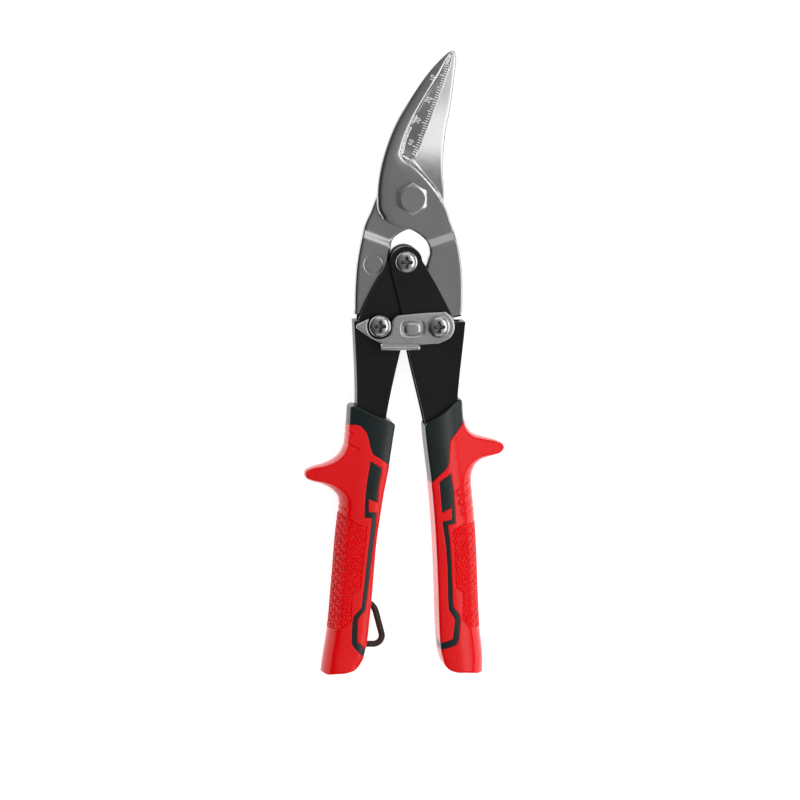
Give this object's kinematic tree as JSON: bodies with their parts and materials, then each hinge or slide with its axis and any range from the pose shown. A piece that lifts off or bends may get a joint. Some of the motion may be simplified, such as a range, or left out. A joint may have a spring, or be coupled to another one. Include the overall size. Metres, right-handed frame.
{
  "type": "aviation snips",
  "caption": "Compound-lever aviation snips with curved blades, a swing latch, an opening spring, two-tone grips with side guards and a hanging loop.",
  "frame": {"origin": "on the resting plane below the middle of the bounding box, with the snips closed and lying on their back", "axes": "+Y along the tool towards the blade tips, +X to the right seen from the front, +Z out of the front face (hex bolt head and latch side)"},
  "size_m": [0.0788, 0.2449, 0.0226],
  "materials": {
    "forged_steel": "satin ground and tumbled",
    "black_channel": "satin black powder coat",
    "bright_steel": "nickel plated",
    "zinc_steel": "zinc plated",
    "spring_steel": "oiled",
    "black_wire": "satin black",
    "nylon": "natural nylon",
    "dark_rubber": "satin charcoal",
    "red_rubber": "glossy soft red"
  },
  "bodies": {
    "front_blade": {"front_blade": "forged_steel", "pivot_bolt": "bright_steel", "pivot_washer": "zinc_steel", "pivot_nut": "zinc_steel", "pivot_nut_insert": "nylon"},
    "rear_blade": {"rear_blade": "forged_steel"},
    "right_handle": {"right_handle": "black_channel", "right_tang_screw": "bright_steel", "right_tang_nut": "zinc_steel", "right_tang_bush": "zinc_steel", "right_tang_front_spacer": "zinc_steel", "right_tang_rear_spacer": "zinc_steel", "latch_wave_washer": "spring_steel", "handle_pivot_screw": "bright_steel", "handle_pivot_nut": "zinc_steel", "handle_pivot_sleeve": "zinc_steel", "handle_pivot_collar": "zinc_steel", "opening_spring": "spring_steel", "right_grip_core": "dark_rubber", "right_grip_cover": "red_rubber"},
    "left_handle": {"left_handle": "black_channel", "left_tang_screw": "bright_steel", "left_tang_nut": "zinc_steel", "left_tang_bush": "zinc_steel", "left_tang_front_spacer": "zinc_steel", "left_tang_rear_spacer": "zinc_steel", "left_grip_core": "dark_rubber", "left_grip_cover": "red_rubber", "hang_loop": "black_wire"},
    "latch": {"latch_plate": "bright_steel"}
  },
  "joints": [
    {"name": "blade_pivot", "type": "hinge", "parent": "front_blade", "child": "rear_blade", "pos_m": [0.0024, 0.06457, 0.0105], "axis": [0, 0, -1], "range_deg": [0, 18], "deforming": ["opening_spring"]},
    {"name": "right_tang_pivot", "type": "hinge", "parent": "front_blade", "child": "right_handle", "pos_m": [0.0127, 0.01447, 0.0105], "axis": [0, 0, 1], "range_deg": [0, 8.4]},
    {"name": "left_tang_pivot", "type": "hinge", "parent": "rear_blade", "child": "left_handle", "pos_m": [-0.0104, 0.01487, 0.0105], "axis": [0, 0, -1], "range_deg": [0, 12.2]},
    {"name": "latch_pivot", "type": "hinge", "parent": "right_handle", "child": "latch", "pos_m": [0.0127, 0.01447, 0.0188], "axis": [0, 0, 1], "range_deg": [0, 55]}
  ],
  "couplings": [
    {"joint": "right_tang_pivot", "follows": "blade_pivot", "ratio": 0.46},
    {"joint": "left_tang_pivot", "follows": "blade_pivot", "ratio": 0.67},
    {"joint": "latch_pivot", "follows": "blade_pivot", "ratio": 3}
  ]
}
